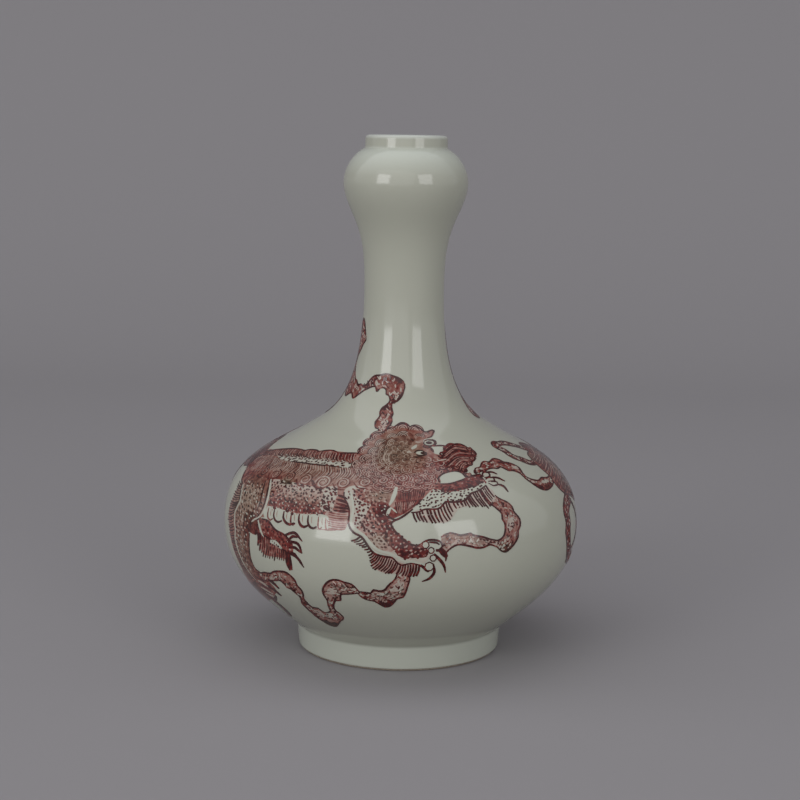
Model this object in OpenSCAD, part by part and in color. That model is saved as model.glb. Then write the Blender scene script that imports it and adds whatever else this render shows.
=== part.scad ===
// Garlic-head vase: a porcelain bottle with a squat belly, a long waisted neck
// and a bulb-shaped mouth with a short collar. The clay is thrown and turned as
// five sections, which are luted end to end with slip and covered by one glaze.
// Millimetres, +Z up, origin at the centre of the ring that the foot rests on.
// Every height is measured from the station below it, so a longer section
// carries all that stands on it.

/* [Foot] */
// Outer diameter of the foot just above its resting edge, glaze included
foot_d = 119; // [105:0.5:125]
// Outer diameter of the foot's top, where the belly springs from it
foot_top_d = 121; // [108:0.5:140]
// Height of the foot ring
foot_h = 13.5; // [8:0.5:25]
// Thickness of the foot ring's wall, with the glaze on its outside
foot_wall = 8; // [6:0.25:14]
// Rounding of both sides of the resting edge
foot_round = 1.4; // [0.5:0.1:1.4]
// Height of the bare edge below the glaze line
bare_h = 1.5; // [1.5:0.25:6]

/* [Belly] */
// Angle at which the belly rises out of the foot
root_rise = 38; // [20:1:60]
// Widest diameter of the belly
belly_d = 208; // [160:0.5:260]
// Height from the bottom of the lower section to the widest ring
lower_h = 61.5; // [40:0.5:90]
// Height from the widest ring to the middle of the shoulder
shoulder_h = 54; // [40:0.5:80]
// Diameter at the middle of the shoulder, where its curve turns hollow
shoulder_d = 114.5; // [95:0.5:140]
// Lean of the shoulder there, from the horizontal
shoulder_lean = 33; // [15:1:55]

/* [Neck] */
// Height from the middle of the shoulder to the seam at the foot of the neck
neck_seam_h = 25; // [15:0.5:40]
// Diameter of the neck at that seam
neck_seam_d = 63.5; // [50:0.5:80]
// Lean of the neck's wall at that seam, from the vertical
neck_seam_lean = 24; // [5:1:40]
// Height from that seam to the waist
waist_h = 56; // [35:0.5:90]
// Diameter of the waist, the narrowest ring of the neck
waist_d = 46.5; // [36:0.5:52]
// Height from the waist to the throat below the bulb
throat_h = 40; // [25:0.5:60]

/* [Garlic head] */
// Diameter of the throat, where the neck opens into the bulb
throat_d = 58; // [50:0.5:66]
// Lean of the throat's wall, from the vertical
throat_lean = 22; // [5:1:45]
// Height from the throat to the widest ring of the bulb
bulb_h = 22; // [15:0.5:35]
// Widest diameter of the bulb
bulb_d = 72; // [66:0.5:90]
// Height from the widest ring of the bulb to the foot of the collar
crown_h = 19.25; // [12:0.25:28]
// Rise of the bulb's top where it meets the collar, from the horizontal
crown_rise = 27; // [4:1:40]
// Outer diameter of the mouth collar
collar_d = 47.5; // [36:0.5:54]
// Height of the mouth collar
collar_h = 7.75; // [6:0.25:20]
// Radius of the hollow between the bulb and the collar
collar_fillet = 1.2; // [0.5:0.1:2.5]

/* [Walls] */
// Thickness of the wall, with the glaze on both sides
wall = 4.5; // [3:0.1:7]
// Thickness of the floor, with the glaze on its inside
floor_t = 7; // [4.5:0.25:12]
// Thickness of the glaze
glaze_t = 0.5; // [0.2:0.05:1]
// Thickness of the slip in each seam
slip_t = 1; // [0.4:0.1:2]

/* [Curves] */
// Pull of the curve out of the foot, as a share of its span
root_pull = 0.55; // [0.1:0.01:0.7]
// Pull of the curve into the belly's widest ring from below
belly_pull_below = 0.3; // [0.2:0.01:0.6]
// Pull of the curve out of the belly's widest ring
belly_pull_above = 0.5; // [0.2:0.01:0.6]
// Pull of the curve into the middle of the shoulder
shoulder_pull_below = 0.31; // [0.1:0.01:0.5]
// Pull of the curve out of the middle of the shoulder
shoulder_pull_above = 0.28; // [0.1:0.01:0.5]
// Pull of the curve into the neck's seam
neck_pull_below = 0.48; // [0.2:0.01:0.6]
// Pull of the curve out of the neck's seam
neck_pull_above = 0.22; // [0.1:0.01:0.5]
// Pull of the curve on both sides of the waist
waist_pull = 0.5; // [0.2:0.01:0.6]
// Pull of the curve on both sides of the throat
throat_pull = 0.3; // [0.1:0.01:0.5]
// Pull of the curve on both sides of the bulb's widest ring
bulb_pull = 0.34; // [0.2:0.01:0.5]
// Pull of the curve into the foot of the collar
crown_pull = 0.32; // [0.1:0.01:0.5]

/* [Hidden] */
$fn = 180;
// Steps of one curve between two stations, and of one rounding
curve_steps = 16;
round_steps = 8;
clay_colour = [0.90, 0.88, 0.83];
slip_colour = [0.83, 0.80, 0.73];
glaze_colour = [0.76, 0.80, 0.75];

// Heights of the stations above the resting edge
body_z = foot_h + slip_t;
belly_z = body_z + lower_h;
shoulder_z = belly_z + shoulder_h;
neck_seam_z = shoulder_z + neck_seam_h;
waist_z = neck_seam_z + waist_h;
throat_z = waist_z + throat_h;
bulb_z = throat_z + bulb_h;
crown_z = bulb_z + crown_h;
rim_z = crown_z + collar_h;
floor_z = body_z + floor_t;
// A radius beyond every wall
far_r = belly_d + foot_top_d;

// Stations of the outside, from the foot's top to the collar. Each is a place in
// radius and height, the direction in which the wall passes it, and the pulls of
// the curve before and after it. 90 degrees is straight up.
stations = [
    [[foot_top_d / 2, body_z], root_rise, 0, root_pull],
    [[belly_d / 2, belly_z], 90, belly_pull_below, belly_pull_above],
    [[shoulder_d / 2, shoulder_z], 180 - shoulder_lean, shoulder_pull_below, shoulder_pull_above],
    [[neck_seam_d / 2, neck_seam_z], 90 + neck_seam_lean, neck_pull_below, neck_pull_above],
    [[waist_d / 2, waist_z], 90, waist_pull, waist_pull],
    [[throat_d / 2, throat_z], 90 - throat_lean, throat_pull, throat_pull],
    [[bulb_d / 2, bulb_z], 90, bulb_pull, bulb_pull],
    [[collar_d / 2 + collar_fillet * (1 - sin(crown_rise)), crown_z],
     180 - crown_rise, crown_pull, 0]
];

function heading(a) = [cos(a), sin(a)];
// Unit vector into the wall, to the left of its direction
function inward(d) = [-d.y, d.x] / norm(d);

// Samples of the curve past station a up to station b: each a place and a direction
function span(a, b) =
    let (
        reach = norm(b[0] - a[0]),
        grip_a = a[0] + a[3] * reach * heading(a[1]),
        grip_b = b[0] - b[2] * reach * heading(b[1])
    )
    [for (i = [1:curve_steps]) let (t = i / curve_steps, s = 1 - t)
        [s * s * s * a[0] + 3 * s * s * t * grip_a + 3 * s * t * t * grip_b + t * t * t * b[0],
         s * s * (grip_a - a[0]) + 2 * s * t * (grip_b - grip_a) + t * t * (b[0] - grip_b)]];

// The hollow between the bulb and the collar turns from the bulb's top to upright
fillet_centre = stations[7][0] + collar_fillet * [sin(crown_rise), cos(crown_rise)];
fillet = [for (i = [1:round_steps]) let (a = (90 - crown_rise) * i / round_steps)
    [fillet_centre + collar_fillet * heading(270 - crown_rise - a), heading(180 - crown_rise - a)]];

outside = concat(
    [[stations[0][0], heading(root_rise)]],
    [for (k = [0:len(stations) - 2], s = span(stations[k], stations[k + 1])) s],
    fillet
);

// The outside sunk into the wall by a depth
function sunk(depth) = [for (s = outside) s[0] + depth * inward(s[1])];

// The lip is a half round on the collar's wall
lip_r = wall / 2;
lip_centre = [collar_d / 2 - lip_r, rim_z - lip_r];
function lip(depth) = [for (i = [0:2 * round_steps])
    lip_centre + (lip_r - depth) * heading(180 * i / (2 * round_steps))];

// Half section of the vase above the foot, sunk by a depth on both sides of its
// wall: at depth 0 it has the glaze, at the glaze's thickness it is the clay alone
module vessel(depth) {
    difference() {
        polygon(concat(
            [[0, body_z], [foot_top_d / 2 - depth, body_z]],
            sunk(depth),
            lip(depth),
            [[0, lip_centre.y]]
        ));
        intersection() {
            polygon(concat([[0, body_z]], sunk(wall - depth), [[collar_d / 2 - wall + depth, rim_z], [0, rim_z]]));
            translate([0, floor_z - depth]) square([far_r, rim_z]);
        }
    }
}

// Outline of the foot ring's clay. Both sides of its wall lean alike, from edge to top.
foot_in = foot_d / 2 - foot_wall;
foot_out = foot_d / 2 - glaze_t;
foot_top_in = foot_top_d / 2 - foot_wall;
foot_top_out = foot_top_d / 2 - glaze_t;
module foot_outline() {
    polygon(concat(
        [for (i = [0:round_steps])
            [foot_in + foot_round, foot_round] + foot_round * heading(180 + 90 * i / round_steps)],
        [for (i = [0:round_steps])
            [foot_out - foot_round, foot_round] + foot_round * heading(270 + 90 * i / round_steps)],
        [[foot_top_out, foot_h], [foot_top_in, foot_h]]
    ));
}

// Radius of the glazed foot wall at a height, on the taper from edge to top
function foot_r(z) = foot_d / 2 + (foot_top_d - foot_d) / 2 * (z - foot_round) / (foot_h - foot_round);

// A ring of the clay wall between two heights
module clay_ring(low, high) {
    rotate_extrude()
        intersection() {
            vessel(glaze_t);
            translate([0, low]) square([far_r, high - low]);
        }
}

// The slip in a seam, wiped flush with the clay
module seam(z) { clay_ring(z - slip_t / 2, z + slip_t / 2); }

// Turned ring that the vase stands on, bare at its edge
module foot_ring() { color(clay_colour) rotate_extrude() foot_outline(); }

// Slip between the foot ring and the lower section
module foot_slip() {
    color(slip_colour) rotate_extrude()
        translate([foot_top_in, foot_h]) square([foot_top_out - foot_top_in, slip_t]);
}

// Bowl of the lower belly with the floor
module lower_belly() { color(clay_colour) clay_ring(body_z, belly_z - slip_t / 2); }

module belly_slip() { color(slip_colour) seam(belly_z); }

// Dome of the upper belly with the shoulder
module upper_belly() { color(clay_colour) clay_ring(belly_z + slip_t / 2, neck_seam_z - slip_t / 2); }

module neck_slip() { color(slip_colour) seam(neck_seam_z); }

// Waisted tube of the neck
module neck() { color(clay_colour) clay_ring(neck_seam_z + slip_t / 2, throat_z - slip_t / 2); }

module head_slip() { color(slip_colour) seam(throat_z); }

// Bulb and mouth collar, thrown as one
module garlic_head() { color(clay_colour) clay_ring(throat_z + slip_t / 2, rim_z); }

// One skin of glaze: up the foot's wall, over the body and the lip, down the inside
module glaze_coat() {
    color(glaze_colour) rotate_extrude()
        union() {
            difference() {
                vessel(0);
                vessel(glaze_t);
            }
            polygon([
                [foot_r(bare_h) - glaze_t, bare_h],
                [foot_r(bare_h), bare_h],
                [foot_top_d / 2, foot_h],
                [foot_top_d / 2, body_z],
                [foot_top_out, body_z],
                [foot_top_out, foot_h]
            ]);
        }
}

// Glaze on the underside of the floor, inside the foot ring
module base_glaze() {
    color(glaze_colour)
        translate([0, 0, body_z - glaze_t]) cylinder(h = glaze_t, r = foot_top_in);
}

foot_ring();
foot_slip();
lower_belly();
belly_slip();
upper_belly();
neck_slip();
neck();
head_slip();
garlic_head();
glaze_coat();
base_glaze();
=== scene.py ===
import bisect
import math
import random

import bmesh
import bpy
from mathutils import Matrix, Vector
from mathutils.geometry import interpolate_bezier


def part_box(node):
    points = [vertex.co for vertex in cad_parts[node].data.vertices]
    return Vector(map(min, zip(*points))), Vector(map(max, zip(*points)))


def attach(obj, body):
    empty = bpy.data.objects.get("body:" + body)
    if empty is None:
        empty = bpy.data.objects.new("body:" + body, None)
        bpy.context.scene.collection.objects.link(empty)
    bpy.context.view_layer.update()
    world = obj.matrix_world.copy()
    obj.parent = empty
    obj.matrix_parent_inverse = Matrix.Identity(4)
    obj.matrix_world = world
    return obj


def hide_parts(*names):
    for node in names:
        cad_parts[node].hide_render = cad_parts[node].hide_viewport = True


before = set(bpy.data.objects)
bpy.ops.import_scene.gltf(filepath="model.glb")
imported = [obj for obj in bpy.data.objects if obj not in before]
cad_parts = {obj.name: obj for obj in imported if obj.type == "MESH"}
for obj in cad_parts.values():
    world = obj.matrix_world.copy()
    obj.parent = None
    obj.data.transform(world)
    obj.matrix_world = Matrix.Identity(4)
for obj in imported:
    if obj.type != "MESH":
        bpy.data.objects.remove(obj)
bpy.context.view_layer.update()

# Clay sections
# Foot ring, two halves of the belly, neck and garlic head, thrown and turned in white porcelain
# clay. They stay the solids of the frame, and only the edge of the foot is left bare to be seen.
mm = 0.001


def shader(name):
    """A new material, its nodes and links, and its surface shader."""
    made = bpy.data.materials.new(name)
    made.use_nodes = True
    nodes = made.node_tree.nodes
    return made, nodes, made.node_tree.links, nodes["Principled BSDF"]


def grain(nodes, links, size, detail=3.0):
    """A noise whose patches are about the given size, in the object's own coordinates."""
    place = nodes.new("ShaderNodeTexCoord")
    patches = nodes.new("ShaderNodeTexNoise")
    patches.inputs["Scale"].default_value = 1 / size
    patches.inputs["Detail"].default_value = detail
    links.new(place.outputs["Object"], patches.inputs["Vector"])
    return patches.outputs["Fac"]


def linear(colour):
    """The light of a colour written as red, green and blue from 0 to 255."""
    shares = [c / 255 for c in colour]
    return [s / 12.92 if s < 0.04045 else ((s + 0.055) / 1.055) ** 2.4 for s in shares] + [1.0]


def ramp(nodes, links, level, stops):
    """Colours between the given stops, each a position and an RGB colour as seen on a screen."""
    colours = nodes.new("ShaderNodeValToRGB")
    strip = colours.color_ramp.elements
    while len(strip) < len(stops):
        strip.new(1.0)
    for stop, (position, colour) in zip(strip, stops):
        stop.position = position
        stop.color = linear(colour)
    links.new(level, colours.inputs["Fac"])
    return colours.outputs["Color"]


def raised(nodes, links, level, height):
    """A bump of the given height."""
    bump = nodes.new("ShaderNodeBump")
    bump.inputs["Strength"].default_value = 0.5
    bump.inputs["Distance"].default_value = height
    links.new(level, bump.inputs["Height"])
    return bump.outputs["Normal"]


def dress(names, material):
    """Gives solids of the frame their finish."""
    for name in names:
        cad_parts[name].data.materials.clear()
        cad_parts[name].data.materials.append(material)


# The bare clay is a dark grey-brown: partly the fired colour of the bare foot rim, partly painted shade
# of the dark line where the foot meets the floor.
clay_light_with_painted_shade = (150, 140, 126)
clay_dark_with_painted_shade = (112, 100, 88)
clay_grain = 0.6 * mm
clay_rise = 0.05 * mm
clay, nodes, links, surface = shader("bare_clay_with_painted_shade")
speckle = grain(nodes, links, clay_grain)
clay_tints_with_painted_shade = [(0.35, clay_dark_with_painted_shade), (0.6, clay_light_with_painted_shade)]
links.new(ramp(nodes, links, speckle, clay_tints_with_painted_shade), surface.inputs["Base Color"])
links.new(raised(nodes, links, speckle, clay_rise), surface.inputs["Normal"])
surface.inputs["Roughness"].default_value = 0.75
dress(("foot_ring", "lower_belly", "upper_belly", "neck", "garlic_head"), clay)

# Slip seams
# Thin rings of runny clay that lute the sections end to end, wiped flush and fired under the
# glaze, a little greyer and smoother than the turned clay.
slip_light = (172, 164, 150)
slip_dark = (150, 142, 128)
slip_grain = 2.5 * mm
slip, nodes, links, surface = shader("luting_slip")
streaks = grain(nodes, links, slip_grain)
slip_tints = [(0.3, slip_dark), (0.7, slip_light)]
links.new(ramp(nodes, links, streaks, slip_tints), surface.inputs["Base Color"])
surface.inputs["Roughness"].default_value = 0.65
dress(("foot_slip", "belly_slip", "neck_slip", "head_slip"), slip)

# Glaze
# One glassy coat of pale green-white glaze, from the foot over the body and the lip to the
# inside floor. It is spun from the half section and has the coat's thickness.
body_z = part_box("lower_belly")[0].z
belly_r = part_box("glaze_coat")[1].x
rim_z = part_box("glaze_coat")[1].z
belly_z = sum(corner.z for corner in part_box("belly_slip")) / 2
neck_seam_z = sum(corner.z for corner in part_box("neck_slip")) / 2
throat_z = sum(corner.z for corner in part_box("head_slip")) / 2
foot_edge_r = 59.5 * mm
foot_top_r = 60.5 * mm
bare_h = 1.5 * mm
root_rise = 38
root_fillet = 3.0 * mm
crisp_share = 0.04
shoulder_r, shoulder_z = 57.25 * mm, 130 * mm
neck_seam_r = 31.75 * mm
waist_r, waist_z = 23.25 * mm, 211 * mm
throat_r = 29 * mm
bulb_r, bulb_z = 36 * mm, 273 * mm
collar_r, crown_z = 23.75 * mm, 292.25 * mm
collar_fillet = 1.2 * mm
crown_rise = 27
wall = 4.5 * mm
floor_t = 7 * mm
glaze_t = 0.45 * mm
curve_steps = 18
round_steps = 8
turn_steps = 160

# Places that the outside passes: radius, height, heading in degrees (90 is up) and the pulls of
# the curve before and after.
crown_r = collar_r + collar_fillet * (1 - math.sin(math.radians(crown_rise)))
stations = [
    (foot_top_r, body_z, root_rise, 0, 0.55),
    (belly_r, belly_z, 90, 0.3, 0.5),
    (shoulder_r, shoulder_z, 147, 0.31, 0.28),
    (neck_seam_r, neck_seam_z, 114, 0.48, 0.22),
    (waist_r, waist_z, 90, 0.5, 0.5),
    (throat_r, throat_z, 68, 0.3, 0.3),
    (bulb_r, bulb_z, 90, 0.34, 0.34),
    (crown_r, crown_z, 180 - crown_rise, 0.32, 0),
]


def heading(degrees):
    """The direction at an angle, 0 away from the axis and 90 up."""
    return Vector((math.cos(math.radians(degrees)), math.sin(math.radians(degrees))))


def arc(centre, radius, start, end, steps):
    """Points of an arc from one heading to another."""
    return [centre + radius * heading(start + (end - start) * i / steps) for i in range(steps + 1)]


def span(a, b):
    """Points of the outside past station a up to station b."""
    start, end = Vector(a[:2]), Vector(b[:2])
    reach = (end - start).length
    grip_a = start + a[4] * reach * heading(a[2])
    grip_b = end - b[3] * reach * heading(b[2])
    return interpolate_bezier(start, grip_a, grip_b, end, curve_steps + 1)[1:]


def sunk(points, depth):
    """A line of points moved to the left of its own direction, into the wall."""
    moved = []
    for i, point in enumerate(points):
        along = points[min(i + 1, len(points) - 1)] - points[max(i - 1, 0)]
        moved.append(point + depth * Vector((-along.y, along.x)).normalized())
    return moved


outside = [Vector(stations[0][:2])]
for a, b in zip(stations, stations[1:]):
    outside += span(a, b)
fillet_centre = outside[-1] + collar_fillet * heading(90 - crown_rise)
outside += arc(fillet_centre, collar_fillet, 270 - crown_rise, 180, round_steps)[1:]
lip_centre = Vector((collar_r - wall / 2, rim_z - wall / 2))
lip = arc(lip_centre, wall / 2, 0, 180, 2 * round_steps)
floor_z = body_z + floor_t
inside = [p for p in sunk(outside, wall) if p.y > floor_z + wall / 2]
floor_r = inside[0].x - wall / 2
root_run = root_fillet * math.tan(math.radians(90 - root_rise) / 2)
root_centre = outside[0] + Vector((root_fillet, -root_run))
root = arc(root_centre, root_fillet, 180, 90 + root_rise, round_steps)
# Points near both ends of the foot's side keep it flat right up to its edges
foot_edge = Vector((foot_edge_r, bare_h))
foot_side = [foot_edge.lerp(root[0], share) for share in (0, crisp_share, 1 - crisp_share)]
half_section = foot_side + root + outside[1:] + lip + inside[::-1]
half_section += [Vector((floor_r, floor_z)), Vector((0, floor_z))]

bm = bmesh.new()
rim = [bm.verts.new((p.x, 0, p.y)) for p in half_section]
line = [bm.edges.new(pair) for pair in zip(rim, rim[1:])]
bmesh.ops.spin(bm, geom=rim + line, axis=(0, 0, 1), cent=(0, 0, 0), steps=turn_steps,
               angle=math.tau, use_merge=True)
bmesh.ops.remove_doubles(bm, verts=bm.verts, dist=0.001 * mm)
bmesh.ops.recalc_face_normals(bm, faces=bm.faces)
bmesh.ops.solidify(bm, geom=bm.faces[:], thickness=glaze_t)


def piece_from(bm, name, material):
    """The finished mesh as a piece of the vase, smooth all over."""
    mesh = bpy.data.meshes.new(name)
    bm.to_mesh(mesh)
    bm.free()
    mesh.shade_smooth()
    mesh.materials.append(material)
    piece = bpy.data.objects.new(name, mesh)
    bpy.context.scene.collection.objects.link(piece)
    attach(piece, "root")
    return piece


def worked(nodes, links, operation, value, by):
    """One step of arithmetic on a value, by a number or by another value."""
    step = nodes.new("ShaderNodeMath")
    step.operation = operation
    links.new(value, step.inputs[0])
    if isinstance(by, float):
        step.inputs[1].default_value = by
    else:
        links.new(by, step.inputs[1])
    return step.outputs[0]


def glassy(surface):
    """The gloss of fired glaze."""
    surface.inputs["Roughness"].default_value = 0.09
    surface.inputs["IOR"].default_value = 1.5


glaze_colour = (167, 168, 155)
# Paler tones painted on the glaze: painted sheen on the bulb's top, painted light on the foot, and
# thinner glaze with a painted highlight on the lip
crown_glaze_painted_sheen = (182, 186, 175)
foot_glaze_painted_light = (171, 174, 163)
lip_glaze_thin_and_highlight = (193, 197, 190)
glaze_mat, nodes, links, surface = shader("pale_celadon_glaze")
place = nodes.new("ShaderNodeTexCoord")
upright = nodes.new("ShaderNodeSeparateXYZ")
links.new(place.outputs["Object"], upright.inputs[0])
level = worked(nodes, links, "DIVIDE", upright.outputs["Z"], rim_z)
# Shares of the height where the coat is painted paler: painted light on the foot, a painted sheen of
# the light from above on the bulb's top up to the crown, and thinner glaze with a painted highlight on
# the lip
foot_share, crown_share, lip_share = body_z / rim_z, crown_z / rim_z, 0.996
coat_tints_with_painted_light = [
    (foot_share - 0.002, foot_glaze_painted_light),
    (foot_share + 0.004, glaze_colour),
    (crown_share - 0.05, glaze_colour),
    (crown_share - 0.012, crown_glaze_painted_sheen),
    (crown_share - 0.002, crown_glaze_painted_sheen),
    (crown_share + 0.006, glaze_colour),
    (lip_share - 0.002, glaze_colour),
    (lip_share + 0.002, lip_glaze_thin_and_highlight),
]
links.new(ramp(nodes, links, level, coat_tints_with_painted_light), surface.inputs["Base Color"])
glassy(surface)
glaze = piece_from(bm, "glaze", glaze_mat)
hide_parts("glaze_coat")
dress(("base_glaze",), glaze_mat)

# Ribbons
# Long silk ribbons that the lion trails from paw to paw, painted under the glaze in copper red:
# a thin wash between two brushed edges, with flecks where the silk folds.
hand = random.Random(4)
bare, mid, full, dark = 0.0, 0.50, 0.72, 0.95
brush_step, edge_step, cut_step = 1.6, 2.0, 3
dab_sides = 7

# Paint reaches from its root inside the coat up to its lift, in millimetres off the wall
wash_lift, wash_step, line_lift, ink_lift = 0.050, 0.003, 0.155, 0.175
lift_play = 0.012
paint_root = 0.1

# A place in the painting is x round the wall from the front, taken at the girth's radius, and m up
# the wall, with the girth's own m at the widest ring, both in millimetres.
girth_r, girth_m = 102, 77.5
wall_rise = [p.y for p in outside]
wall_run = [0.0]
for a, b in zip(outside, outside[1:]):
    wall_run.append(wall_run[-1] + (b - a).length / mm)
wall_run = [run + girth_m - wall_run[curve_steps] for run in wall_run]
wall_out = [Vector((p - q).normalized()) for p, q in zip(outside, sunk(outside, wall))]


def wall_share(values, level):
    """The stretch of the wall that a level falls in, and how far along that stretch."""
    i = min(max(bisect.bisect(values, level) - 1, 0), len(values) - 2)
    return i, (level - values[i]) / (values[i + 1] - values[i])


def girth_share(m):
    """Radius at level m of the wall, as a share of the radius that x is measured at."""
    i, t = wall_share(wall_run, m)
    return outside[i].lerp(outside[i + 1], t).x / mm / girth_r


def on_glaze(x, m, lift):
    """Place on the outside, x round it from the front and m up the wall, both in millimetres."""
    i, t = wall_share(wall_run, m)
    spot = outside[i].lerp(outside[i + 1], t) + lift * mm * wall_out[i].lerp(wall_out[i + 1], t)
    turn = x / girth_r
    return Vector((spot.x * math.sin(turn), -spot.x * math.cos(turn), spot.y))


def out_of_glaze(place):
    """The outward direction of the wall at a place on it."""
    i, t = wall_share(wall_rise, place.z)
    lean = wall_out[i].lerp(wall_out[i + 1], min(max(t, 0), 1))
    flat = Vector((place.x, place.y)).normalized() * lean.x
    return (flat.x, flat.y, lean.y)


def new_drawing():
    """An empty drawing, laid flat, that keeps the ink and the firing of each place."""
    drawing = bmesh.new()
    drawing.verts.layers.float.new("ink")
    drawing.verts.layers.float.new("turned")
    return drawing


def trail(points, step=brush_step, closed=False):
    """Places along a smooth line through a few points, about a step apart."""
    knots = [Vector(p) for p in points]
    ends = [2 * knots[0] - knots[1]] + knots + [2 * knots[-1] - knots[-2]]
    if closed:
        ends = [knots[-1]] + knots + [knots[0], knots[1]]
    places = [] if closed else [knots[0]]
    for before, a, b, after in zip(ends, ends[1:], ends[2:], ends[3:]):
        count = max(2, round((b - a).length / step) + 1)
        places += interpolate_bezier(a, a + (b - before) / 6, b - (after - a) / 6, b, count)[1:]
    return places


def stroke(drawing, points, width, ink, tips=(0.35, 0.35), lift=line_lift, step=brush_step):
    """One stroke of the brush, as wide on the vase as given, drawn in at its two tips."""
    places = trail(points, step)
    last = len(places) - 1
    tint = drawing.verts.layers.float["ink"]
    height = lift + hand.uniform(0, lift_play)
    made = bmesh.ops.create_grid(drawing, x_segments=last, y_segments=1, size=0.5)
    for v in made["verts"]:
        i = round((v.co.x + 0.5) * last)
        along = places[min(i + 1, last)] - places[max(i - 1, 0)]
        squeeze = girth_share(places[i].y)
        across = Vector((-along.y, along.x * squeeze)).normalized()
        tip = tips[0] if 2 * i < last else tips[1]
        reach = v.co.y * width * (tip + (1 - tip) * math.sin(math.pi * i / last))
        v.co = (places[i].x + reach * across.x / squeeze, places[i].y + reach * across.y, height)
        v[tint] = ink


def washes(drawing, areas):
    """Areas of colour laid one over the other, each with one ink or a faded one."""
    for layer, (outline, ink) in enumerate(areas):
        height = wash_lift + wash_step * layer
        edge = trail(outline, edge_step, closed=True)
        drawing.faces.new([drawing.verts.new((p.x, p.y, height)) for p in edge])
    cut_to_wall(drawing)
    tint = drawing.verts.layers.float["ink"]
    for v in drawing.verts:
        ink = areas[round((v.co.z - wash_lift) / wash_step)][1]
        v[tint] = ink(v.co.x, v.co.y) if callable(ink) else ink


def dot(drawing, place, length, width, turn, ink, lift=line_lift):
    """A touch of the brush, longer one way, turned by degrees from level."""
    tint = drawing.verts.layers.float["ink"]
    height = lift + hand.uniform(0, lift_play)
    squeeze = girth_share(place[1])
    c, s = heading(turn)
    made = bmesh.ops.create_circle(drawing, cap_ends=True, segments=dab_sides, radius=0.5)
    for v in made["verts"]:
        a, b = v.co.x * length, v.co.y * width
        v.co = (place[0] + (a * c - b * s) / squeeze, place[1] + a * s + b * c, height)
        v[tint] = ink


def cut_to_wall(drawing):
    """Cuts the wide areas where the wall bends, so that they lie on it all over."""
    xs = [v.co.x for v in drawing.verts]
    ms = [v.co.y for v in drawing.verts]
    cuts = [((x, 0, 0), (1, 0, 0)) for x in range(int(min(xs)), int(max(xs)) + 1, cut_step)]
    cuts += [((0, m, 0), (0, 1, 0)) for m in wall_run if min(ms) < m < max(ms)]
    for place, direction in cuts:
        bmesh.ops.bisect_plane(drawing, geom=drawing.verts[:] + drawing.edges[:] + drawing.faces[:],
                               plane_co=place, plane_no=direction)


# Places where the copper has turned brown in the fire: x, m, reach each way and how far
turned_spots = [(-79, 115, 9, 3.5, 1.0), (-106, 98, 26, 22, 0.75), (-12, 87, 9, 6, 0.75),
                (-12, 113, 13, 5, 0.7), (-4, 148, 34, 22, 0.75), (-50, 24, 12, 5, 0.6),
                (59, 81, 7, 4, 0.7), (130, 129, 12, 4, 0.6), (-70, 127, 75, 16, 0.45),
                (-63, 108, 22, 8, 0.4), (-105, 68, 16, 24, 0.6)]


def turned(x, m):
    """How far the copper has turned at a place, from 0 to 1."""
    return max(share * (1 - ((x - a) / wide) ** 2 - ((m - b) / tall) ** 2)
               for a, b, wide, tall, share in turned_spots)


def painted(drawing, name):
    """The drawing as a thin coat in the glaze, at the front of the vase and again at its back."""
    fired = drawing.verts.layers.float["turned"]
    for v in drawing.verts:
        v[fired] = max(turned(v.co.x, v.co.y), 0)
    coat = bmesh.ops.extrude_face_region(drawing, geom=drawing.faces[:] + drawing.edges[:],
                                         use_keep_orig=True)
    for v in coat["geom"]:
        if isinstance(v, bmesh.types.BMVert):
            v.co.z = -paint_root
    bmesh.ops.recalc_face_normals(drawing, faces=drawing.faces)
    for v in drawing.verts:
        v.co = on_glaze(*v.co)
    bmesh.ops.spin(drawing, geom=drawing.verts[:] + drawing.edges[:] + drawing.faces[:], axis=(0, 0, 1),
                   cent=(0, 0, 0), steps=1, angle=math.pi, use_duplicate=True)
    piece = piece_from(drawing, name, copper_red)
    piece.data.normals_split_custom_set_from_vertices([out_of_glaze(v.co) for v in piece.data.vertices])


mottle_grain, mottle_gain = 2.6 * mm, 2.0
copper_red, nodes, links, surface = shader("underglaze_copper_red")
depth = nodes.new("ShaderNodeAttribute")
depth.attribute_name = "ink"
mottle = worked(nodes, links, "MULTIPLY", grain(nodes, links, mottle_grain, 4.0), mottle_gain)
pooled = worked(nodes, links, "MULTIPLY", mottle, depth.outputs["Fac"])
pigment = [(0.04, glaze_colour), (0.16, (163, 146, 136)), (0.3, (148, 116, 106)), (0.45, (130, 82, 72)),
           (0.62, (111, 46, 40)), (0.8, (88, 25, 22)), (1.0, (54, 13, 12))]
brown = [(0.04, glaze_colour), (0.16, (162, 154, 140)), (0.3, (142, 127, 111)), (0.45, (118, 102, 85)),
         (0.62, (94, 77, 61)), (0.8, (70, 54, 40)), (1.0, (44, 34, 24))]
fired = nodes.new("ShaderNodeAttribute")
fired.attribute_name = "turned"
hue = nodes.new("ShaderNodeMix")
hue.data_type = "RGBA"
links.new(fired.outputs["Fac"], hue.inputs["Factor"])
links.new(ramp(nodes, links, pooled, pigment), hue.inputs["A"])
links.new(ramp(nodes, links, pooled, brown), hue.inputs["B"])
links.new(hue.outputs["Result"], surface.inputs["Base Color"])
glassy(surface)


def along(line, share):
    """The place at a share of the way along a line of places."""
    at = min(max(share, 0), 1) * (len(line) - 1)
    i = min(int(at), len(line) - 2)
    return line[i].lerp(line[i + 1], at - i)


fleck_long, fleck_wide = (1.2, 3.0), (0.6, 1.1)
fleck_inks = (0.08, 0.14, 0.2, dark, dark, full)


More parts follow.
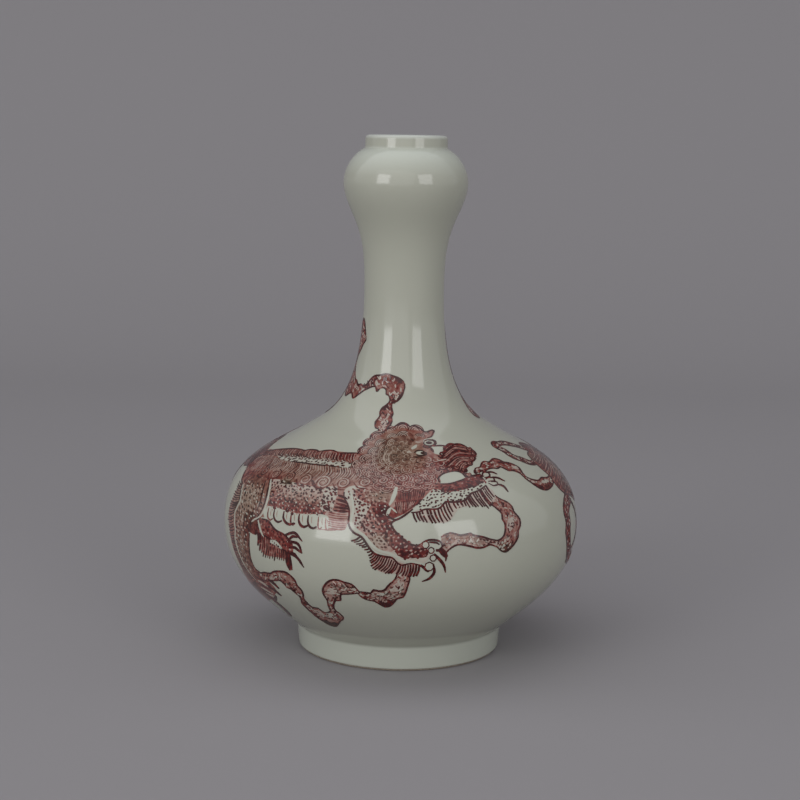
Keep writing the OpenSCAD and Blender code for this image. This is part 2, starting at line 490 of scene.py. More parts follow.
def flecked(drawing, edge_a, edge_b, flecks):
    """Dark and pale flecks scattered between the two edges of a ribbon, most of them along it."""
    sides = trail(edge_a), trail(edge_b)
    for _ in range(flecks):
        share = hand.random()
        a, b = (along(side, share) for side in sides)
        lean = math.degrees(math.atan2(b.y - a.y, b.x - a.x)) + 90 + hand.uniform(-60, 60)
        spot = a.lerp(b, hand.uniform(0.15, 0.85))
        dot(drawing, spot, hand.uniform(*fleck_long), hand.uniform(*fleck_wide), lean,
            hand.choice(fleck_inks))


def brushed_edge(drawing, line, ink=1.0):
    """A dark edge of nearly even width."""
    stroke(drawing, line, 1.2, ink, (0.6, 0.6), ink_lift)


# Ribbons, each with its two edges, the ink between them and the number of its flecks
ribbon_edges = [
    # From the far paw to the right, down into the tail of the other lion
    ([(55.5, 128.5), (57, 131.3), (62, 132), (66, 134.8), (70, 136), (74, 135), (78, 136.2), (82, 137),
      (86, 135.5), (88, 133), (92, 131.5), (95, 129.5), (97, 126.5), (96, 124), (94.5, 121.5),
      (94.8, 119), (97, 117), (101, 115.2), (105, 114.4), (110, 115.4), (114, 114.6), (118, 114),
      (122, 114.5)],
     [(57.5, 127.5), (60, 128.6), (63, 128), (67, 129.5), (72, 129.8), (76, 129), (80, 129.8),
      (82, 128), (84, 126), (88, 125.3), (91, 123.5), (92.5, 121.5), (93, 118), (95, 114.8), (98, 111),
      (102, 108.5), (107, 107.5), (113, 108), (118, 109), (122, 110.5)], mid, 90),
    # From the fringe of the far foreleg, round a knot and back to the near paw
    ([(59.5, 111), (62, 108.5), (66, 106), (68.5, 103), (68.5, 100.5), (70, 98), (71.5, 95.5), (71, 92),
      (69, 89.5), (68.5, 86), (66, 83), (63, 80.5), (60, 79), (57, 79.8), (54, 82.5)],
     [(53, 106.5), (55.5, 105), (58, 102.5), (60, 100), (59.5, 97), (60.5, 95), (60.5, 92), (59.5, 89),
      (58, 87), (55.5, 86), (53, 86)], 0.42, 110),
    # This stretch by the near paw is painted paler: a pale wash, lightened further as a painted
    # highlight where a soft box reflects on it
    ([(55, 82), (50, 84), (46, 83), (42, 83), (37, 84.5), (31, 85.5), (26, 83), (24, 80.5)],
     [(54, 86), (50, 87), (46, 88.5), (40, 90), (38.5, 91), (33, 90.4), (27, 92), (22, 90)], 0.26, 60),
    # From the hind foot, down to the lowest knot
    ([(-95, 58), (-90, 58.5), (-85, 60), (-80, 60.5), (-76, 62.5), (-72, 63.5), (-67, 64), (-63, 62),
      (-61, 59.5), (-60.5, 56.5), (-58.5, 54), (-58.3, 51), (-59.5, 47), (-58.5, 43.5), (-56, 40.4),
      (-52, 40.4), (-50.5, 38.5), (-48.5, 37), (-46, 37.6), (-43.5, 39.6)],
     [(-92, 54), (-86, 54), (-81, 55.5), (-77, 56.5), (-73, 57.5), (-70, 55.2), (-69, 53.5),
      (-66.5, 53), (-64.5, 51), (-62, 48.5), (-61.7, 45.5), (-63, 42.5), (-62, 38.5), (-60, 34),
      (-59.2, 31), (-56.5, 27), (-53, 23.5), (-50, 22), (-47, 22.3), (-44.5, 24.5), (-42, 27.5),
      (-40, 30), (-37.5, 32), (-36.2, 35)], 0.42, 150),
    # Up out of that knot, over a loop and on to the fringe of the near foreleg
    ([(-36.2, 35), (-37.5, 38), (-39.6, 40.5), (-40, 44), (-38.5, 48), (-37, 50), (-34, 50.5),
      (-33.6, 53), (-33, 55), (-30, 55.6), (-27, 56), (-23, 57)],
     [(-43.5, 39.6), (-43.2, 45), (-42.5, 49), (-43.7, 53), (-43.5, 57), (-41, 61), (-38, 63.5),
      (-34, 64.3), (-30, 63.3), (-26, 62.5), (-23.5, 60), (-22, 57.8)], 0.34, 90),
    ([(-23, 57.2), (-20.5, 54), (-17, 52.5), (-14, 52), (-11, 50), (-8, 47.8), (-5, 48.8), (-3, 51.5),
      (-1, 54.5), (2, 55.5), (3.5, 59), (4.5, 63), (5.5, 67), (5, 70.5)],
     [(-22, 58), (-18, 57.8), (-15.5, 57.6), (-14, 59.8), (-11, 59.2), (-8, 60), (-6.5, 62), (-5, 64),
      (-2.5, 66.5), (-1, 70.5)], 0.34, 90),
    # Out of the mane, over the shoulder to the left and round the neck
    ([(-28, 164.5), (-29, 166.3), (-33, 167), (-35.5, 169.5), (-36.5, 171.5), (-34, 174), (-32.5, 176),
      (-34, 178.5), (-32, 181), (-28, 182.3), (-24, 183.8), (-21, 185.8), (-24, 188.6), (-30, 189.5)],
     [(-20, 165.5), (-18.5, 167.5), (-15.5, 169.5), (-14, 172.5), (-15.5, 175.5), (-14, 177.5),
      (-16, 180), (-18, 182.5), (-18, 184.5), (-10, 185.6), (-4, 187.5), (0, 189.5), (3, 192.5),
      (4.5, 194)], mid, 90),
    ([(4.5, 194), (2, 197), (-3, 198.5), (-10, 199.6), (-20, 200.4), (-34, 201.3), (-48, 200.3),
      (-60, 199.6), (-68, 197.5), (-76, 194), (-84, 192.8), (-92, 193.5), (-101, 193), (-110, 195),
      (-120, 196), (-134, 200), (-142, 202.6), (-148, 205.6), (-144, 208.6), (-138, 210.4),
      (-126, 213.5), (-118, 216.5), (-107, 219)],
     [(-30, 189.5), (-31, 192), (-37, 193.2), (-44, 192.6), (-47, 191), (-50, 191), (-53, 193.2),
      (-60, 193.4), (-72, 191.5), (-80, 190), (-90, 187), (-99, 184.8), (-108, 187), (-116, 187.5),
      (-130, 184.8), (-144, 187), (-153, 193), (-157, 201), (-158, 210), (-155, 220), (-147, 228),
      (-136, 231), (-124, 229.5), (-117, 226), (-107, 220)], mid, 150),
    # Ends of the ribbons of the lion at the back, which come round the right of the belly
    ([(97, 146), (100, 149), (106, 150), (112, 148.6), (118, 148.3), (124, 147), (130, 144.5),
      (136, 141), (146, 134)],
     [(99, 144), (106, 145.5), (112, 145.6), (118, 144.5), (124, 142.5), (130, 140), (135, 136.5),
      (142, 131)], full, 50),
    ([(98, 145), (101, 141), (102, 136), (104, 133), (108, 130), (112, 126.5), (117, 124.5),
      (122, 124)],
     [(106, 145), (108.5, 141), (108, 137), (110, 134.5), (113, 133), (116, 130.5), (119, 128),
      (124, 127.5)], full, 50),
    ([(129, 101), (122, 98.5), (117, 95), (115.5, 91), (116.5, 86), (115, 81), (116.5, 76), (119, 70),
      (122, 64.5), (127, 60.5), (134, 57), (142, 55), (150, 54.5), (158, 56), (164, 60), (168, 66)],
     [(136, 96), (131, 94), (126, 92), (123.5, 89), (124, 85), (123, 80), (123.5, 75.5), (125.5, 71),
      (129, 67), (134, 64.5), (140, 62.5), (148, 61.4), (155, 63), (159, 66.5), (161, 71)], full, 110),
    ([(137, 170), (144, 168), (150, 168), (155, 170), (158.6, 174.5), (160.6, 180), (161.6, 186),
      (161.4, 192), (163, 199)],
     [(137, 174), (144, 180), (149, 183), (153.5, 184.4), (157, 184.6), (159, 186.4), (159.4, 191),
      (160, 199)], full, 50),
    # Its thin far edge at the side
    ([(129, 97), (135, 93), (140, 87), (143, 80), (140, 74), (133, 70), (126, 67), (123, 61)],
     [(130, 98), (136.4, 93.6), (141.4, 87.2), (144.6, 80), (141, 73), (133.4, 69), (126.6, 66),
      (123.8, 60)], full, 0),
]
# Folds of the silk, where the colour has pooled or run thin: a line, its width and its ink
folds = [
    ([(-56, 28), (-52, 24.6), (-48, 24), (-44.5, 27)], 5.5, 0.95),
    ([(-61, 42), (-60, 36), (-57.5, 31)], 3.4, full),
    ([(-56.5, 37.5), (-53, 36), (-51, 33)], 4.0, 0.12),
    ([(-49.5, 33), (-46, 34.5), (-43.5, 37)], 4.4, 0.06),
    ([(-43, 33), (-40.5, 36), (-39.5, 39)], 3.6, full),
    ([(-41.5, 41), (-41.2, 45), (-40, 49)], 2.6, full),
    ([(-41.5, 55), (-38, 56.5), (-35, 58)], 4.5, 0.12),
    ([(-11, 52), (-7.5, 50.4), (-4, 53.5)], 4.6, 0.95),
    ([(-13, 57.5), (-10, 56.8), (-8, 57.5)], 3.0, 0.06), ([(-5, 60), (-1, 62), (2, 65)], 5.0, 0.12),
    ([(56, 82), (60, 81), (64, 83)], 4.2, 0.95), ([(63, 90), (64.5, 94), (67, 97)], 4.6, 0.14),
    ([(64, 131.5), (69, 132.5), (74, 132)], 3.4, full),
    ([(80, 133.5), (84, 132), (88, 129)], 3.6, full),
    ([(91, 128), (93.5, 126.5), (94.5, 125)], 2.6, 0.15),
    ([(96, 113.5), (100, 110.8), (105, 109.2)], 3.0, 0.95),
    ([(106, 112.6), (111, 112.4), (116, 112)], 2.6, 0.1),
    ([(-20, 199), (-9, 198.2), (0, 196)], 2.4, dark), ([(-19, 186), (-8, 187.6), (0, 191)], 2.4, dark),
    ([(-48.5, 191.6), (-46, 191.8)], 2.2, 1.0), ([(-33, 180), (-27, 181), (-22, 183.5)], 2.4, dark),
    ([(-17, 178), (-17, 174), (-16, 171)], 2.2, full),
    ([(-27, 174), (-24, 171), (-24, 168)], 3.0, 0.15),
]
fold_lift = line_lift - 0.02
ribbon_ends = [[(168, 66), (161, 71)], [(137, 170), (137, 174)], [(-107, 219), (-107, 220)]]
drawing = new_drawing()
washes(drawing, [(edge_a + edge_b[::-1], ink) for edge_a, edge_b, ink, flecks in ribbon_edges])
for line, width, ink in folds:
    stroke(drawing, line, width, ink, (0.3, 0.3), fold_lift)
cut_to_wall(drawing)
for edge_a, edge_b, ink, flecks in ribbon_edges:
    flecked(drawing, edge_a, edge_b, flecks)
    brushed_edge(drawing, edge_a)
    brushed_edge(drawing, edge_b)
for end in ribbon_ends:
    brushed_edge(drawing, end)
painted(drawing, "ribbons")

# Lion's coat
# Body, legs and head of the lion, laid in with washes of thin copper red: paler on the legs and
# under the belly, deeper along the spine, round the muzzle and on the far side.
def faded(a, b, start, end):
    """Ink that changes evenly from one place to another."""
    way = Vector(b) - Vector(a)

    def ink(x, m):
        share = (Vector((x, m)) - Vector(a)).dot(way) / way.length_squared
        return start + (end - start) * min(max(share, 0), 1)
    return ink


back = [(-130, 132.5), (-119, 136), (-110, 138.8), (-100, 140), (-80, 142.4), (-62, 144.4),
        (-42, 144.5)]
trunk = [(-150, 127), *back,
         (-20, 150), (10, 150), (24, 130), (26, 122), (14, 113), (6, 105), (-3, 100.5), (-14, 98),
         (-28, 96), (-36, 91.5), (-60, 91.5), (-84, 92), (-90, 90), (-97, 84), (-112, 88), (-118, 96),
         (-124, 104), (-131, 107), (-138, 114), (-144, 121)]
spine = [(-150, 128), *back,
         (-36, 140), (-38, 134.5), (-55, 134), (-65, 132.6), (-85, 131.6), (-100, 131), (-112, 129),
         (-130, 126)]
spine_deep = [(-66, 139), (-58, 142.8), (-48, 142.8), (-38, 143.5), (-37, 139.5), (-46, 138),
              (-56, 138)]
spine_band = [(-118, 130.6), (-106, 133.6), (-96, 134.4), (-88, 135.6), (-80, 136.4), (-72, 136),
              (-62, 137.8), (-52, 138), (-44, 136.8), (-35, 135.4), (-35, 132), (-45, 131.4),
              (-58, 131.4), (-70, 130.6), (-80, 130.2), (-92, 129.2), (-106, 128.6)]
flank_shade = [(-128, 112), (-112, 117), (-95, 119), (-80, 119), (-64, 118), (-60, 116), (-64, 113.8),
               (-80, 113.6), (-95, 114), (-110, 112), (-126, 107)]
belly_side = [(-92, 114), (-75, 115.5), (-58, 115), (-47, 116.5), (-40, 116), (-39, 101), (-48, 99),
              (-60, 98.5), (-75, 98.5), (-86, 98), (-88, 104)]
thigh = [(-124, 110), (-112, 113), (-98, 113), (-91, 110), (-86.5, 101), (-88, 91), (-96, 84),
         (-96.6, 74), (-96.4, 64), (-92, 58), (-100, 50), (-114, 52), (-118, 62), (-124, 76),
         (-129, 86), (-127, 97), (-126, 104)]
thigh_top = [(-126, 108), (-112, 114), (-98, 113.5), (-93, 111), (-98, 107), (-108, 107), (-118, 105.5)]
thigh_shade = [(-101, 113), (-92, 112), (-88.5, 104), (-88, 98), (-91, 92), (-97, 92), (-96, 102)]
groin = [(-104, 91), (-97, 93), (-91, 92), (-86, 91), (-84, 88), (-88, 82), (-92, 81), (-97, 81.5),
         (-103, 80)]
shank = [(-103, 82), (-97, 81), (-96.4, 72), (-96, 64), (-92, 58), (-97, 56), (-101, 62), (-102, 72)]
scutes = [(-86, 97.5), (-80, 99), (-70, 98.5), (-60, 98), (-50, 99), (-44, 99.5), (-40, 98),
          (-38, 92.4), (-50, 91.4), (-62, 91), (-74, 91.4), (-84, 92)]
column = [(-47.5, 114.5), (-42, 116), (-39.5, 114), (-39, 108), (-39.5, 102), (-46, 102), (-47.5, 107)]
fold = [(-42, 102), (-30, 102.5), (-29.5, 97), (-30, 92.5), (-38, 92.2), (-41, 96)]
chest = [(-4, 120), (4, 119.5), (12, 120), (16.5, 115.5), (10, 109), (5, 105), (0, 101.8), (-5, 100),
         (-6, 104), (-2.5, 108), (-3.5, 113)]
near_arm = [(-34, 117), (-29, 119), (-22, 118), (-12, 117), (-8, 110), (-6, 103), (-4.5, 98), (-4, 95),
            (0, 91.5), (4, 88), (8, 86), (12, 86.5), (16, 84), (16, 80), (13, 76), (8, 77.5), (2, 76.5),
            (-3, 78), (-8, 80.5), (-13, 82.5), (-17, 86), (-20, 90.5), (-25, 91.8), (-28, 95),
            (-28.5, 99), (-29, 103), (-31, 107), (-34.5, 111), (-35.3, 114)]
near_top = [(-27, 117.5), (-12, 117), (-7.5, 112), (-8, 108), (-14, 107), (-22, 109), (-27, 112)]
near_core = [(-22, 97), (-19, 102), (-16, 108), (-9, 109.5), (-6, 106), (-5, 99), (-4.5, 95), (-9, 91),
             (-15, 90.5), (-20, 93)]
near_shade = [(-14, 101), (-13, 107), (-9, 108.6), (-6.8, 105), (-6, 99), (-9, 97.5)]
near_wrist = [(-10, 95), (-5, 98), (-4, 95), (0, 91.5), (4, 88), (8, 86), (12, 86), (15, 83),
              (14, 79.5), (8, 79), (3, 78.5), (-1, 80.5), (-4, 84), (-8, 88), (-10.5, 91)]
near_elbow = [(-22, 96), (-16, 98), (-10, 95), (-8, 89), (-3, 83), (-7, 82.4), (-12, 84), (-15.5, 87),
              (-19, 91), (-22.5, 93)]
near_fringe = [(-14, 81), (-15, 77), (-14, 73.5), (-11, 71.5), (-6, 70), (-1, 70.5), (4, 70.5), (9, 72),
               (9, 76), (2, 76), (-4, 78.5), (-9, 80)]
far_arm = [(18, 121), (24, 121.5), (32, 121.3), (40, 122.8), (46, 124.5), (52, 126), (58, 126.5),
           (60, 123), (58, 119.5), (50, 118.5), (44, 117.5), (38, 116.5), (30, 115.5), (24, 116),
           (18, 117.5), (14, 116)]
far_spots = [(7, 105), (10, 107.5), (16, 114), (20, 117.5), (25, 117), (32, 115.5), (40, 116.5),
             (50, 118.5), (57, 120.5), (57, 118), (50, 115.5), (44, 114.5), (40, 111.5), (38, 110),
             (34, 109.5), (28, 109.5), (25, 107.3), (22, 105.5), (15, 105.5), (10, 105)]
far_fringe = [(8, 104), (14, 105), (21, 105), (26.5, 109), (37, 109), (44, 113.6), (51, 115.5),
              (57, 118), (60, 111), (55, 106), (48, 106), (42, 106), (34, 105), (28, 99), (24, 97.5),
              (19, 98), (12, 98.5)]
far_paw = [(58, 125), (61, 128), (66, 127), (70, 125), (71, 121), (70, 117), (66, 116), (61, 116),
           (59, 119)]
snout = [(40, 151), (45, 152), (50, 151.5), (56, 153), (62, 152.3), (66, 149.5), (69.5, 145.5),
         (67, 141.5), (62, 138), (56, 134.5), (50, 132)]
head = [(-39, 144), (-39.5, 148), (-37, 151.5), (-38, 154), (-34, 157.5), (-34, 161), (-28, 163.5),
        (-18, 166), (-10, 168), (-5, 170.3), (3, 171), (9, 169.5), (16, 169.6), (22, 168.4),
        (26, 165.3), (32, 165), (39.5, 165.5), (36, 162), (31, 159.6), (24, 158.5), (22, 156),
        (23, 153.5), (29, 152), (28.5, 148), (30, 146), (38, 145), *snout, (46.5, 128), (44, 129),
        (41, 130.5), (37.5, 130.7), (33, 130), (28.6, 128.4), (25.2, 126), (25, 123.6), (24, 122),
        (10, 118), (-10, 117), (-30, 120), (-38, 130)]
mane_deep = [(-24, 142), (-22, 152), (-14, 159), (-4, 163), (6, 165), (10, 159), (6, 150), (8, 144),
             (4, 134), (-6, 130), (-20, 134)]
brow = [(4, 158), (8, 165), (14, 165), (24, 163), (32, 163), (30, 160), (24, 158.5), (21, 155),
        (14, 151), (10, 147), (13, 143), (24, 142), (30, 140), (20, 137), (8, 140), (3, 150)]
muzzle = [(38, 144), *snout, (46, 128), (44, 129.2), (41, 130.6), (37.5, 130.8), (33, 130), (28, 130),
          (26, 134), (28, 139), (33, 142)]
nose = [(29.5, 151.3), (34, 152), (39.5, 151.5), (40, 149.5), (38.5, 147.5), (35.5, 147.2), (33, 145.3),
        (30.5, 146), (29.5, 148.5)]
other_leg = [(-86, 91), (-80, 91), (-76, 88.5), (-72, 86.5), (-66, 85), (-61, 82), (-60.5, 76),
             (-63, 75), (-68, 78), (-75, 81), (-82, 83), (-86, 86)]
other_tuft = [(-88, 82), (-84, 84), (-80, 82), (-72, 79), (-64, 76.5), (-64, 72.5), (-72, 72),
              (-78, 71.4), (-83, 72), (-86, 77)]
hind_foot = [(-116, 54), (-100, 58), (-90, 57), (-84, 54), (-81, 49), (-84, 45), (-90, 41), (-98, 36),
             (-112, 30), (-126, 24), (-137, 23), (-143, 26), (-137, 34), (-126, 42), (-118, 47)]
own_tail = [(-135, 117), (-140, 126), (-150, 129), (-156, 134), (-163, 138), (-170, 140), (-176, 139),
            (-177, 134), (-172, 127), (-170, 122), (-164, 115), (-150, 112)]
other_tail = [(129, 100.5), (124, 104), (121.5, 109), (122.5, 115), (121.5, 120), (123, 126),
              (129, 131.5), (140, 133), (152, 135), (166, 135), (170, 127), (164, 119), (159, 109),
              (156, 99), (151, 92), (144, 95), (137, 98)]
# Washes in the order they are laid, each with its ink
coat = [
    (trunk, faded((-130, 120), (0, 115), 0.48, 0.38)),
    (own_tail, 0.95),
    (other_tail, faded((130, 128), (130, 104), 0.62, 0.5)),
    (flank_shade, faded((-90, 119), (-90, 114), 0.45, 0.7)),
    (belly_side, faded((-65, 113), (-65, 101), 0.14, 0.62)),
    (thigh, faded((-110, 100), (-105, 70), 0.34, 0.52)),
    (thigh_top, 0.62), (thigh_shade, 0.5), (groin, 0.78), (shank, 0.66),
    (spine, 0.45), (spine_deep, 0.7), (spine_band, 0.08),
    (head, faded((-20, 125), (15, 160), 0.42, 0.46)),
    (mane_deep, 0.62), (brow, 0.44), (muzzle, 0.66),
    (column, 0.1), (fold, 0.26), (scutes, 0.02),
    (chest, faded((0, 118), (0, 102), 0.42, 0.7)),
    (near_fringe, 0.24), (near_arm, 0.1), (near_elbow, 0.26), (near_top, 0.4),
    (near_core, faded((-21, 97), (-9, 102), 0.2, 0.62)),
    (near_shade, 0.85),
    (near_wrist, faded((-12, 95), (2, 84), 0.56, 0.84)),
    (far_fringe, 0.13),
    (far_arm, faded((22, 119), (50, 122), 0.5, 0.82)),
    (far_spots, 0.04), (far_paw, 0.06),
    (nose, 0.03), (other_tuft, 0.44), (other_leg, 0.62), (hind_foot, 0.56),
]
drawing = new_drawing()
washes(drawing, coat)
painted(drawing, "lion_coat")

# Mane and hair
# Locks of the mane in arches round the head and small curls round the face, a comb of hair along
# the spine, and a band of long hair down the flank that ends in spirals. Dark strokes lie beside
# paler ones.
def within(place, outline):
    """Whether a place lies inside an outline."""
    odd = False
    for (ax, ay), (bx, by) in zip(outline, outline[1:] + outline[:1]):
        spans = (ay > place[1]) != (by > place[1])
        if spans and place[0] < ax + (bx - ax) * (place[1] - ay) / (by - ay):
            odd = not odd
    return odd


def shifted(points, x, m=0.0):
    """The same points moved round and up the wall."""
    return [(a + x, b + m) for a, b in points]


curl_knots, curl_step, curl_depth = 7, 1.2, 0.8
root_play, reach_play, width_play, ink_play = 0.16, (0.88, 1.06), (0.8, 1.2), (0.85, 1.1)


def curl(drawing, centre, size, start, turns, width, ink, lift=line_lift):
    """A spiral brushed inwards from its rim; turns below 0 wind clockwise."""
    squeeze = girth_share(centre[1])
    count = max(5, round(abs(turns) * curl_knots))
    points = []
    for i in range(count + 1):
        share = i / count
        spoke = heading(start + 360 * turns * share) * size / 2 * (1 - curl_depth * share)
        points.append((centre[0] + spoke.x / squeeze, centre[1] + spoke.y))
    stroke(drawing, points, width, ink, (0.7, 0.4), lift, curl_step)


def fringe(drawing, roots, tips, count, width, ink, bow=0.0, ends=(0.8, 0.3)):
    """Hairs from one line to another, bowed to their left, no two quite alike."""
    lines = trail(roots), trail(tips)
    for i in range(count):
        share = (i + hand.uniform(-root_play, root_play)) / (count - 1)
        a, b = (along(line, share) for line in lines)
        b = a.lerp(b, hand.uniform(*reach_play))
        way = b - a
        hair = [a, (a + b) / 2 + bow * Vector((-way.y, way.x)), b]
        stroke(drawing, hair, width * hand.uniform(*width_play), ink * hand.uniform(*ink_play), ends)


def lock(drawing, centre, wide, tall, start, end, hairs, inks):
    """A lock of hair, as arches one inside the other from one heading to another."""
    for i in range(hairs):
        share = 1 - 0.85 * i / hairs
        spokes = [heading(start + (end - start) * k / 5) * share for k in range(6)]
        arch = [(centre[0] + wide * s.x, centre[1] + tall * s.y) for s in spokes]
        stroke(drawing, arch, 0.55, inks[i % 2], (0.6, 0.5))


# Rings of curls and small locks fan out from the face, as far as the edge of the inner mane
face = Vector((17, 149))
rings, curled_rings = 9, 3
first_reach, ring_gap, lock_gap = 12, 4.6, 5.2
ring_wide, ring_tall = 1.12, 0.72
fan_start, fan = 84, 200
mane = [(-27, 141), (-23, 148.5), (-16, 153.5), (-8, 156), (2, 157), (9, 158), (12, 157), (8, 152),
        (9, 146), (14, 141), (22, 140), (30, 139), (34, 135), (31, 131.6), (25, 129.5), (21, 126),
        (19, 121.5)] + head[-4:]
# Larger locks round the mane's edge: x, m, half breadth, half height and the headings they run between
locks = [(-33.5, 148, 7, 4, 60, 250), (-32, 154.5, 7.5, 4.2, 55, 240), (-26.5, 160.3, 9, 4.6, 40, 225),
         (-15, 165, 8.5, 4.2, 20, 200), (1, 167.4, 10, 4.6, 0, 180), (17.5, 166, 9.5, 4.2, -5, 175),
         (-10.5, 159.8, 6.5, 3.6, 20, 200), (2, 161.6, 8, 4, 0, 180), (-28.5, 141, 7, 4.2, 70, 260),
         (-20.5, 154.4, 6.5, 3.8, 45, 230), (-24.5, 147.6, 6, 3.8, 60, 250), (-33, 136, 6, 4, 80, 270),
         (20, 160.4, 6, 3, -10, 150), (28, 162, 5, 2.4, 0, 160)]
cheek_curls = [(22, 141), (27.5, 140.6), (25, 136.6), (30.5, 137.6), (36.5, 138), (42, 138.6),
               (20, 136), (27, 132.6)]
drawing = new_drawing()
for ring in range(rings):
    reach = first_reach + ring_gap * ring
    count = round(math.radians(fan) * reach / lock_gap)
    for i in range(count + 1):
        spoke = heading(fan_start + fan * (i + 0.5 * (ring % 2)) / count)
        spot = face + Vector((ring_wide * reach * spoke.x, ring_tall * reach * spoke.y))
        if within(spot, mane):
            start = math.degrees(math.atan2(spoke.y, spoke.x)) + hand.uniform(-30, 30)
            if ring >= curled_rings:
                lock(drawing, spot, 4.8, 3.3, start - 110, start + 110, 5, (0.74, 0.26))
            else:
                curl(drawing, spot, hand.uniform(3.0, 4.4), start, -1.2, 0.5, hand.uniform(0.6, 0.85))
                curl(drawing, spot, hand.uniform(4.0, 5.0), start + 60, -0.6, 0.45,
                     hand.uniform(0.2, 0.34))
for x, m, wide, tall, start, end in locks:
    lock(drawing, (x, m), wide, tall, start, end, 6, (0.9, 0.2))
for spot in cheek_curls:
    curl(drawing, spot, hand.uniform(3.4, 4.4), hand.uniform(0, 360), -1.3, 0.55, 0.85)
    curl(drawing, spot, hand.uniform(4.4, 5.2), hand.uniform(0, 360), -0.7, 0.5, 0.2)

# Long hair of the flank, dark and pale, and the spirals at its ends: x, m, size and ink
hair_roots = [(-142, 123), (-120, 127.5), (-104, 128.5), (-85, 129.5), (-65, 130.5), (-42, 132),
              (-25, 131), (0, 129), (22, 127)]
hair_tips = [(-139, 112), (-118, 115), (-104, 119), (-85, 120.5), (-65, 121), (-42, 122), (-25, 123.5),
             (0, 123), (22, 121)]
fringe(drawing, hair_roots, hair_tips, 90, 0.7, 0.72, 0.25, (0.5, 0.5))
fringe(drawing, shifted(hair_roots, 1), shifted(hair_tips, 1), 80, 0.5, 0.22, 0.25)
spirals = [(-108, 117.5, 7, 0.5), (-94, 118, 8, 0.5), (-80, 118.5, 8, 0.52), (-66, 119, 9, 0.42),
           (-52, 119, 10.5, 0.3), (-38, 120, 8.5, 0.34), (-24, 122, 8, 0.34), (-12, 124, 7, 0.36),
           (1, 126, 7.5, 0.34), (12, 124, 7, 0.38)]
for x, m, size, ink in spirals:
    dot(drawing, (x, m), size + 0.5, size - 1, 0, ink)
    curl(drawing, (x, m), size, 100, -2.2, 0.7, ink + 0.36, ink_lift)
    curl(drawing, (x, m), size - 1.8, 130, -1.6, 0.5, ink - 0.16, ink_lift)
    stroke(drawing, [(x - 7, m - 1), (x - 3, m - 4.5), (x + 3, m - 4.6)], 1.1, 0.8)
stroke(drawing, [(-60.5, 119), (-56, 115.6), (-50, 113.8)], 2.0, 0.9, (0.6, 0.3), ink_lift)

# Comb of the spine and tufts of the two tails
comb_roots = [(-148, 127.5), (-130, 131.5), (-110, 138), (-80, 141.8), (-42, 144)]
comb_tips = [(-138, 124), (-122, 128), (-101, 132), (-73, 135), (-36, 136)]
fringe(drawing, comb_roots, comb_tips, 72, 0.62, 0.82, -0.15)
fringe(drawing, shifted(comb_roots, 1.2), shifted(comb_tips, 1.2), 40, 0.45, 0.28, -0.15)
tuft_tips = [(125, 128), (122.5, 119), (123, 110), (127, 102.5), (136, 99), (144, 96), (151, 93)]
tuft_roots = [(166, 134), (168, 130), (168, 127), (166, 123), (163, 118), (160, 111), (158, 106)]
fringe(drawing, tuft_roots, tuft_tips, 30, 0.8, 1.0, 0.05, (0.5, 0.8))
fringe(drawing, shifted(tuft_roots, -8), shifted(tuft_tips, 3, 0.5), 22, 0.5, 0.2, 0.05)
fringe(drawing, [(95, 115), (99, 111.4), (106, 110.4), (116, 111)],
       [(97, 112), (101, 108.6), (107, 107.6), (117, 108.6)], 16, 0.7, 1.0)
fringe(drawing, [(-137, 125), (-139, 119), (-140, 114)],
       [(-175, 138), (-173, 131), (-168, 121)], 12, 0.9, 1.0, -0.06)
painted(drawing, "lion_hair")

# Scales and spots
# Rows of spots on the body, thighs and forelegs, each a dab of the brush, plates under the belly
# drawn as open hooks, and close lines in the fold behind the foreleg.
row_play, rise_play, length_play, turn_play = 0.38, 0.34, (0.7, 1.3), 35


def dotted(drawing, region, pitch, size, turn, inks):
    """Rows of dabs inside a region, every other row set off by half the pitch."""
    xs, ms = zip(*region)
    m, row = min(ms), 0
    while m < max(ms):
        x = min(xs) + 0.5 * pitch[0] * (row % 2)
        while x < max(xs):
            spot = (x + hand.uniform(-row_play, row_play) * pitch[0],
                    m + hand.uniform(-rise_play, rise_play) * pitch[1])
            if within(spot, region):
                length = size[0] * hand.uniform(*length_play)
                width = size[1] * hand.uniform(*width_play)
                dot(drawing, spot, length, width, turn + hand.uniform(-turn_play, turn_play),
                    hand.uniform(*inks))
            x += pitch[0]
        m += pitch[1]
        row += 1


strong = (0.85, 1.1)
haunch = [(-118, 107), (-112, 110), (-100, 110), (-92, 106), (-87.5, 98), (-90, 91), (-98, 86),
          (-99, 70), (-100, 58), (-106, 56), (-111, 66), (-114, 78), (-114, 90), (-113, 96),
          (-117, 101)]
shoulder = [(-33.5, 113), (-31, 116.5), (-25, 117), (-22, 112), (-16, 108), (-18, 102), (-20, 96),
            (-18, 92), (-24, 93.5), (-26, 97), (-26, 102), (-28.5, 108)]
elbow = [(-19, 92), (-13, 92.5), (-8, 88), (-5.5, 83), (-9, 82.6), (-13, 84.8), (-16.5, 88)]
drawing = new_drawing()
dotted(drawing, belly_side, (2.4, 1.9), (1.7, 1.15), -35, strong)
dotted(drawing, shifted(belly_side, 1.5, -1.1), (2.9, 2.3), (1.3, 0.8), -35, (0.06, 0.3))
dotted(drawing, haunch, (2.9, 2.3), (1.9, 1.15), -35, (0.65, 1.1))
dotted(drawing, haunch, (3.3, 2.7), (1.9, 0.9), -35, (0.05, 0.3))
dotted(drawing, shoulder, (2.2, 1.85), (1.75, 1.25), -40, (0.75, 1.1))
dotted(drawing, near_top, (2.3, 1.9), (1.5, 1.0), -40, (0.6, 0.9))
dotted(drawing, near_top, (3.2, 2.6), (1.5, 0.9), -40, (0.1, 0.25))
dotted(drawing, near_core, (2.15, 1.8), (1.8, 1.2), -40, strong)
